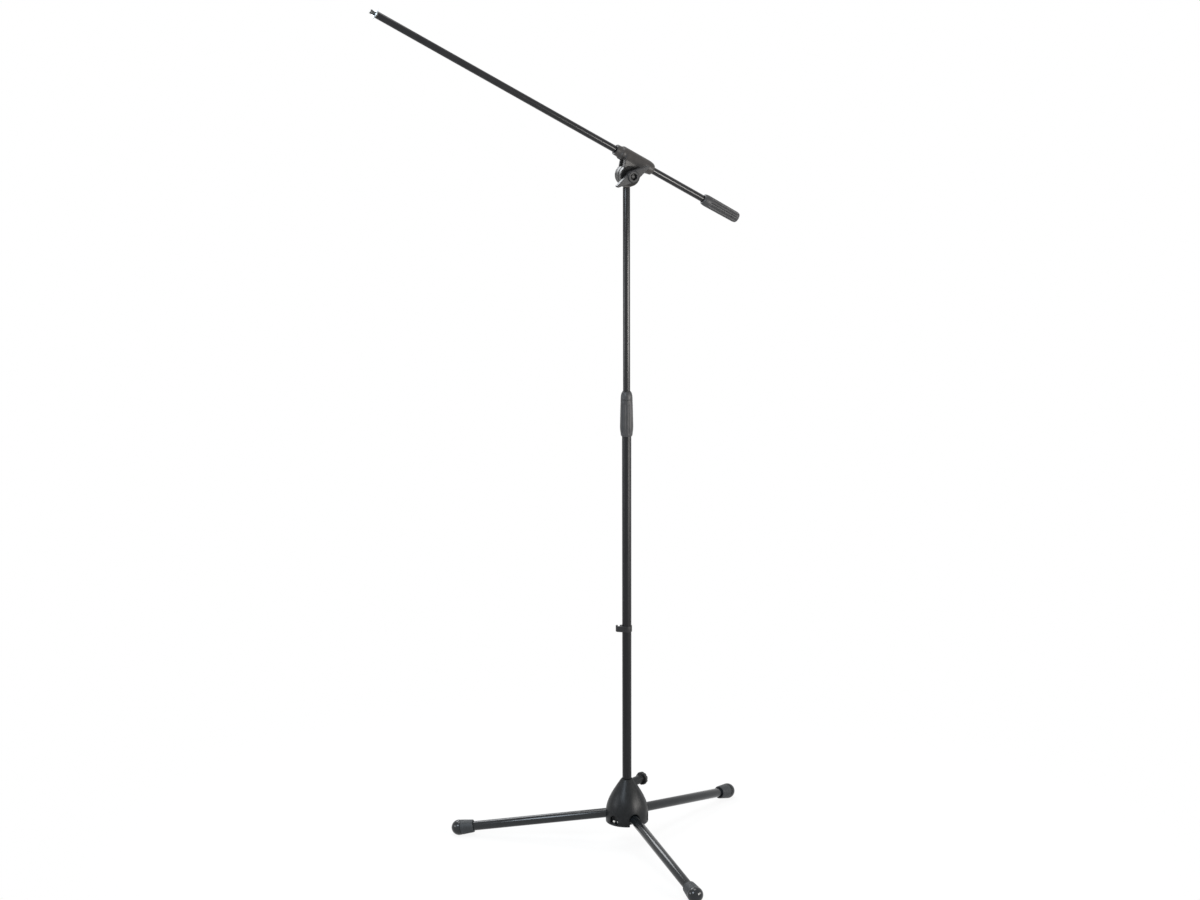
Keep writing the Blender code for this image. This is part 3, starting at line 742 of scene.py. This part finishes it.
def makeColumn():
    for node, (name, radius, wall, body, finish, slotName) in column.items():
        low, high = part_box(node)
        mesh = tubeMesh(name, radius, wall, (high.z - low.z) / mm, finish)
        showPiece(name, mesh, pole @ shift(0, 0, low.z / mm), body, finish, node)


makeColumn()

print("height clutch")
clutch = {
    "gripOutside": [
        (10.4, 917.0), (11.2, 917.0), (12.4, 919.2), (13.1, 925.2), (13.9, 931.6), (14.2, 938),
        (13.9, 951), (13.5, 970), (13.1, 985), (12.85, 993), (12.8, 996.5),
    ],
    "gripInside": [(11.9, 996.5), (11.9, 924.6), (10.4, 922.6)],
    "gripCorner": 2.0, "gripSteps": 192,
    "flutes": {
        "Count": 12, "Depth": 0.9, "Sharpness": 2, "Start": 923, "End": 991, "Fade": 3,
        "Core Radius": 12.3,
    },
    "cap": [
        (10.8, 996.8), (12.85, 996.8), (12.7, 1000.4), (12.3, 1005), (11.5, 1008.8),
        (10.3, 1011.8), (9.2, 1013.7), (8.6, 1014.5), (8.1, 1014.1), (8.1, 1003.4), (10.8, 1003.4),
    ],
    "capCorner": 0.8, "cornerSteps": 3,
}


def makeClutch():
    steps = clutch["cornerSteps"]
    outside = softened(clutch["gripOutside"], clutch["gripCorner"], False, steps)
    base = turnedMesh("clutchGrip", outside + clutch["gripInside"], clutch["gripSteps"])
    mesh = groovedMesh(base, clutch["flutes"], "gripPlastic")
    showPiece("clutchGrip", mesh, pole, "clutch", "gripPlastic", "clutch_grip")
    mesh = turnedMesh("clutchCap", softened(clutch["cap"], clutch["capCorner"], True, steps))
    showPiece("clutchCap", mesh, pole, "clutch", "gripPlastic", "clutch_cap")


makeClutch()

print("cable clip")
clip = {
    "low": 484.5, "high": 497.5, "edge": 0.4, "edgeSegments": 3, "edgeSharp": 50,
    "bore": 10.3, "ring": 11.4, "ringEnds": (-64, 244),
    "hookCentre": 17.5, "hookBore": 5.1, "hook": 6.6, "hookEnds": (-65, 245),
    "arcSteps": (40, 24, 40, 60),
}


def makeClip():
    middle, hookMiddle = (0, 0), (clip["hookCentre"], 0)
    ringStart, ringEnd = clip["ringEnds"]
    hookStart, hookEnd = clip["hookEnds"]
    lean = math.degrees(math.acos((clip["ring"] - clip["hook"]) / clip["hookCentre"]))
    hookBoreSteps, hookSteps, ringSteps, boreSteps = clip["arcSteps"]
    outline = arc(hookMiddle, clip["hookBore"], hookEnd, hookStart, hookBoreSteps)
    outline += arc(hookMiddle, clip["hook"], hookStart, lean, hookSteps)
    outline += arc(middle, clip["ring"], lean, ringEnd, ringSteps)
    outline += arc(middle, clip["bore"], ringEnd, ringStart, boreSteps)
    outline.append(onCircle(middle, clip["ring"], ringStart))
    outline.append(onCircle(hookMiddle, clip["hook"], hookEnd))
    band = prismMesh("cableClip", outline, clip["low"] - clip["high"], 0)
    mesh = bevelled(band, clip["edge"], clip["edgeSegments"], clip["edgeSharp"])
    place = pole @ shift(0, 0, clip["low"]) @ turnZ(layout["clipAngle"]) @ turnX(-90)
    showPiece("cableClip", mesh, place, "clip", "blackPlastic", "cable_clip")


makeClip()

print("boom head")
head = {
    # the sleeve, as (radius, place along the boom)
    "bore": 8.7, "rear": -47.0,
    "nose": [(15.0, -26), (15.0, -36), (14, -44), (10, -47.0)],
    "front": [
        (15.0, 33), (12.0, 38.5), (11.6, 48.3), (11, 48.9), (10, 48.9), (10, 45.9), (8.7, 45.9),
    ],
    # the two cheeks, across the hinge
    "cheek": 22.3, "cheekArc": (-205, 22),
    "web": [(25.5, 24), (25.5, 42.0), (-23, 42.0), (-23, 24)],
    "webSlope": [(22.8, 24), (40, 24), (40, 60), (4, 60)],
    "acrossCheeks": (-11.0, 21.8), "fork": (-5.6, 10.2), "roof": 23.6,
    "slit": (-1, 1), "slitLow": 13.6, "boltHole": 4.4, "boltSeat": 7.8, "boltSeatRun": (-15, -8.8),
    # how far the cutting shapes reach, past the casting
    "boreRun": (-60, 60), "slopeAcross": (-40, 40), "forkHalf": 45, "forkLow": -30, "slitLong": 60,
    "boltRun": (-20, 30), "discBoltRun": (-20, 20),
    # the disc on the mast that the cheeks hold
    "disc": 22.6, "discArc": (-65, 245), "discFoot": [(-7.5, -24.4), (7.5, -24.4)],
    "discAcross": (-3.9, 8.5),
    "neck": [(0, -60), (6.2, -60), (6.2, -26), (7.7, -26), (7.7, -23.4), (0, -23.4)],
    "washer": [(4.5, 22.1), (20.8, 22.1), (20.8, 24.4), (4.5, 24.4)], "washerCorner": 0.7,
    "sleeveSteps": 128, "noseSteps": 16, "roundSteps": 90, "neckSteps": 64,
    "voxel": 0.7, "smoothing": 6,
}


def makeHead():
    bore = head["bore"]
    nose = curveThrough(*head["nose"], head["noseSteps"])[::-1]
    profile = [(bore, head["rear"]), *nose, *head["front"]]
    sleeve = turnedMesh("headCasting", profile, head["sleeveSteps"])
    sleeve.transform(boomLine)
    outline = arc((0, 0), head["cheek"], *head["cheekArc"], head["roundSteps"]) + head["web"]
    cheeks = prismMesh("cheeks", outline, *head["acrossCheeks"])
    cheeks.transform(tilted)
    slope = prismMesh("cheekSlope", head["webSlope"], *head["slopeAcross"])
    cheeks = carved(cheeks, [("DIFFERENCE", slope, tilted @ turnZ(90))])
    outline = boxOutline(head["forkHalf"], head["forkLow"], head["roof"])
    fork = prismMesh("fork", outline, *head["fork"])
    outline = boxOutline(head["slitLong"], head["slitLow"], layout["boomOffset"])
    slit = prismMesh("slit", outline, *head["slit"])
    boltHole = turnedMesh("boltHole", rodProfile(head["boltHole"], *head["boltRun"]), holeSteps)
    boltSeat = prismMesh("boltSeat", hexOutline(head["boltSeat"]), *head["boltSeatRun"])
    steps = [
        ("UNION", cheeks, Matrix()),
        ("DIFFERENCE", turnedMesh("bore", rodProfile(bore, *head["boreRun"])), boomLine),
        ("DIFFERENCE", fork, tilted),
        ("DIFFERENCE", slit, tilted),
        ("DIFFERENCE", boltHole, acrossHead),
        ("DIFFERENCE", boltSeat, tilted),
    ]
    mesh = castSoft(carved(sleeve, steps), head["voxel"], head["smoothing"])
    showPiece("headCasting", mesh, Matrix(), "head", "headCoat", "boom_head", castSharp)


def makeTiltDisc():
    outline = arc((0, 0), head["disc"], *head["discArc"], head["roundSteps"]) + head["discFoot"]
    disc = prismMesh("tiltDisc", outline, *head["discAcross"])
    neck = turnedMesh("neck", head["neck"], head["neckSteps"])
    hole = turnedMesh("hole", rodProfile(head["boltHole"], *head["discBoltRun"]), holeSteps)
    steps = [("UNION", neck, Matrix()), ("DIFFERENCE", hole, turnX(-90))]
    mesh = castSoft(carved(disc, steps), head["voxel"], head["smoothing"])
    showPiece("tiltDisc", mesh, hinge, "mast", "headCoat", "tilt_knuckle", castSharp)


def makeFrontWasher():
    mesh = turnedMesh("frontWasher", softened(head["washer"], head["washerCorner"]))
    showPiece("frontWasher", mesh, acrossHead, "head", "matteBlack", "front_washer")


makeHead()
makeTiltDisc()
makeFrontWasher()

print("wing lever")
lever = {
    "boss": [(4.4, 24.7), (11.2, 24.7), (12, 25.5), (12, 41.2), (11.2, 42.0), (4.4, 42.0)],
    "reach": 38.5, "tip": 2.6, "tipSteps": 16, "root": 11.6, "rootSteps": 4,
    "wingAcross": (28.5, 39.2), "hex": 7.7, "hexRun": (28, 45), "voxel": 0.5, "smoothing": 5,
}


def makeLever():
    boss = turnedMesh("wingLever", lever["boss"])
    boss.transform(turnX(-90))
    reach, tip, root = lever["reach"], lever["tip"], lever["root"]
    lean = math.degrees(math.asin((root - tip) / reach))
    tipSteps, rootSteps = lever["tipSteps"], lever["rootSteps"]
    outline = arc((reach, 0), tip, lean - 90, 90 - lean, tipSteps)
    outline += arc((0, 0), root, 90 - lean, 90 + lean, rootSteps)
    outline += arc((-reach, 0), tip, 90 + lean, 270 - lean, tipSteps)
    outline += arc((0, 0), root, 270 - lean, 270 + lean, rootSteps)
    wings = prismMesh("wings", outline, *lever["wingAcross"])
    socket = prismMesh("hexSocket", hexOutline(lever["hex"]), *lever["hexRun"])
    steps = [("UNION", wings, Matrix()), ("DIFFERENCE", socket, Matrix())]
    mesh = castSoft(carved(boss, steps), lever["voxel"], lever["smoothing"])
    showPiece(
        "wingLever", mesh, leverLine, "lever", "blackPlastic", "wing_lever", castSharp
    )


makeLever()

print("boom")
boom = {
    "radius": 7.4, "wall": 1.2, "front": 635.0, "rear": -266.0,
    "gripOutside": [
        (0, -272.4), (8.2, -272.4), (10.6, -271), (11.5, -268), (11.8, -264), (12.5, -197.2),
        (12.6, -190.2), (12.2, -186), (11.2, -182.2), (9.8, -180.6),
    ],
    "gripInside": [(7.7, -180.6), (7.7, -266.3), (0, -266.3)],
    "gripCorner": 1.6, "gripGap": 2.0, "gripSteps": 256,
    "flutes": {
        "Count": 16, "Depth": 1.3, "Sharpness": 1.2, "Start": -271, "End": -195, "Fade": 5,
        "Core Radius": 9.5,
    },
    # the stud: its plug and the groove for the disc, then rings close enough to carry a thread
    "plug": [
        (0, 606), (5.9, 606), (5.9, 635.3), (7.4, 635.3), (7.4, 638.2), (4.3, 638.2), (4.3, 642.5),
    ],
    "shankRadius": 4.76, "shankStart": 643.0, "shankGap": 0.2, "shankRings": 37,
    "studEnd": [(3.96, 651), (0, 651)],
    "thread": {
        "Count": 1, "Pitch": 1.588, "Depth": 0.55, "Sharpness": 1, "Start": 642.8, "End": 651.5,
        "Fade": 0.6, "Core Radius": 3.9,
    },
    "lockDisc": [(4.86, 638.6), (11.75, 638.6), (11.75, 641.2), (4.86, 641.2)],
    "lockDiscCorner": 0.5,
}


def makeBoom():
    length = boom["front"] - boom["rear"]
    mesh = tubeMesh("boomTube", boom["radius"], boom["wall"], length, "semiGlossTube")
    place = boomLine @ shift(0, 0, boom["rear"])
    showPiece("boomTube", mesh, place, "boom", "semiGlossTube", "boom_tube")

    outside = softened(boom["gripOutside"], boom["gripCorner"], False)
    profile = filledIn(outside, boom["gripGap"]) + boom["gripInside"]
    base = turnedMesh("rearGrip", profile, boom["gripSteps"])
    mesh = groovedMesh(base, boom["flutes"], "gripPlastic")
    showPiece("rearGrip", mesh, boomLine, "boom", "gripPlastic", "rear_grip")

    start, gap = boom["shankStart"], boom["shankGap"]
    shank = [(boom["shankRadius"], start + gap * k) for k in range(boom["shankRings"])]
    profile = boom["plug"] + shank + boom["studEnd"]
    # the stud's finish is zinc painted dark, as painted shade for the dark reflection on the
    # thread
    mesh = groovedMesh(turnedMesh("tipStud", profile), boom["thread"], "threadPaintedShade")
    showPiece("tipStud", mesh, boomLine, "boom", "threadPaintedShade", "tip_stud")

    mesh = turnedMesh("lockDisc", softened(boom["lockDisc"], boom["lockDiscCorner"]))
    showPiece("lockDisc", mesh, boomLine, "lock_disc", "brightChrome", "lock_disc")


makeBoom()

print("small parts")
nodeFinishes = {
    "zincPlate": ("base_nut", "pivot_pin_1", "pivot_pin_2", "pivot_pin_3", "clamp_screw"),
    "blackOxide": ("clamp_bolt", "lever_nut"),
    "blackPlastic": ("hub_top_bush", "spreader_spool", "clutch_body", "boom_liner"),
    "greyNylon": ("clutch_collet", "mast_guide_bush"),
    "footRubber": ("rear_friction_disc", "front_friction_disc"),
    "castCoat": ("leg_knuckle_1", "leg_knuckle_2", "leg_knuckle_3"),
}
for finish, names in nodeFinishes.items():
    for name in names:
        mesh = frame["nodes"][name].data
        mesh.materials.clear()
        mesh.materials.append(finishes[finish])

print("studio")
studio = {
    # places from the pole, in metres
    "cameraPlace": (-2.0676, -5.1142, 2.0564), "pitch": 11.973, "turn": -21.421, "roll": -0.172,
    "lens": 79.11, "sensor": 36, "seesTo": 100,
    "worldGlow": 0.32,
    "floorHalf": 9.0, "floorHeight": -0.0002, "paper": 0.86,
    "shadowShare": 0.12, "shadowFade": (0.4, 1.3),
    "lampAim": 0.8,
    "lamps": [
        # name, place, size, watts, colour
        ("topBox", (0.0, 0.3, 3.6), (1.6, 1.6), 40, (1.0, 1.0, 1.0)),
        ("keyBox", (-1.85, -1.25, 2.1), (0.9, 0.9), 34, (0.78, 0.89, 1.0)),
        ("leftBox", (-2.48, 0.30, 0.90), (1.2, 0.8), 14, (0.90, 0.95, 1.0)),
        ("frontStrip", (1.24, -2.35, 0.88), (0.7, 1.0), 44, (1.0, 0.97, 0.93)),
        ("rightBox", (2.03, -1.66, 0.92), (1.5, 0.85), 34, (1.0, 0.97, 0.93)),
        ("backBox", (-0.4, 2.0, 2.2), (1.3, 0.9), 30, (0.94, 0.97, 1.0)),
    ],
}
poleFoot = Vector((layout["pole"][0] * mm, layout["pole"][1] * mm, 0))


def rayCover(tree):
    # 1 for rays that reach the picture straight, by reflection or through glass
    path = tree.nodes.new("ShaderNodeLightPath").outputs
    direct = maths(tree, "MAXIMUM", path["Is Camera Ray"], path["Is Glossy Ray"])
    return maths(tree, "MAXIMUM", direct, path["Is Transmission Ray"])


def makeWorld():
    world = bpy.data.worlds.new("studioWorld")
    bpy.context.scene.world = world
    world.use_nodes = True
    tree = world.node_tree
    glow = tree.nodes["Background"]
    glow.inputs["Color"].default_value = (1, 1, 1, 1)
    level = tree.nodes.new("ShaderNodeMapRange")
    setRange(level, "To", (studio["worldGlow"], 1.0))
    tree.links.new(rayCover(tree), level.inputs["Value"])
    tree.links.new(level.outputs["Result"], glow.inputs["Strength"])


def makePaper():
    # takes shadows near the stand, and turns to plain white further out
    paper = bpy.data.materials.new("floorPaper")
    paper.use_nodes = True
    tree = paper.node_tree
    tree.nodes.remove(tree.nodes["Principled BSDF"])
    matte = addNode(tree, "ShaderNodeBsdfDiffuse", Color=(*[studio["paper"]] * 3, 1))
    glow = addNode(tree, "ShaderNodeEmission", Color=(1, 1, 1, 1), Strength=1.0)
    place = tree.nodes.new("ShaderNodeTexCoord")
    away = tree.nodes.new("ShaderNodeVectorMath")
    away.operation = "DISTANCE"
    away.inputs[1].default_value = poleFoot
    tree.links.new(place.outputs["Object"], away.inputs[0])
    fade = tree.nodes.new("ShaderNodeMapRange")
    fade.interpolation_type = "SMOOTHSTEP"
    setRange(fade, "From", studio["shadowFade"])
    setRange(fade, "To", (1 - studio["shadowShare"], 1.0))
    tree.links.new(away.outputs["Value"], fade.inputs["Value"])
    mix = tree.nodes.new("ShaderNodeMixShader")
    plainShare = maths(tree, "MULTIPLY", fade.outputs["Result"], rayCover(tree))
    tree.links.new(plainShare, mix.inputs["Fac"])
    tree.links.new(matte.outputs["BSDF"], mix.inputs[1])
    tree.links.new(glow.outputs["Emission"], mix.inputs[2])
    tree.links.new(mix.outputs["Shader"], tree.nodes["Material Output"].inputs["Surface"])
    return paper


def makeFloor():
    bm = bmesh.new()
    bmesh.ops.create_grid(bm, x_segments=1, y_segments=1, size=studio["floorHalf"])
    floor = bpy.data.objects.new("studioFloor", meshFrom(bm, "studioFloor"))
    floor.data.transform(Matrix.Translation(poleFoot + Vector((0, 0, studio["floorHeight"]))))
    bpy.context.scene.collection.objects.link(floor)
    floor.data.materials.append(makePaper())


def makeLamps():
    for name, place, size, watts, colour in studio["lamps"]:
        data = bpy.data.lights.new(name, "AREA")
        data.shape = "RECTANGLE"
        data.size, data.size_y = size
        data.energy = watts
        data.color = colour
        lamp = bpy.data.objects.new(name, data)
        bpy.context.scene.collection.objects.link(lamp)
        lamp.location = poleFoot + Vector(place)
        aim = poleFoot + Vector((0, 0, studio["lampAim"])) - lamp.location
        lamp.rotation_euler = aim.to_track_quat("-Z", "Y").to_euler()
        lamp.visible_camera = False


def makeCamera():
    data = bpy.data.cameras.new("photoCamera")
    data.lens = studio["lens"]
    data.sensor_width = studio["sensor"]
    data.clip_end = studio["seesTo"]
    camera = bpy.data.objects.new("photoCamera", data)
    bpy.context.scene.collection.objects.link(camera)
    aim = turnZ(studio["turn"]) @ turnX(90 - studio["pitch"]) @ turnZ(studio["roll"])
    camera.location = poleFoot + Vector(studio["cameraPlace"])
    camera.rotation_euler = aim.to_euler()
    bpy.context.scene.camera = camera


makeWorld()
makeFloor()
makeLamps()
makeCamera()
bpy.context.scene.view_settings.view_transform = "Standard"

print("done")
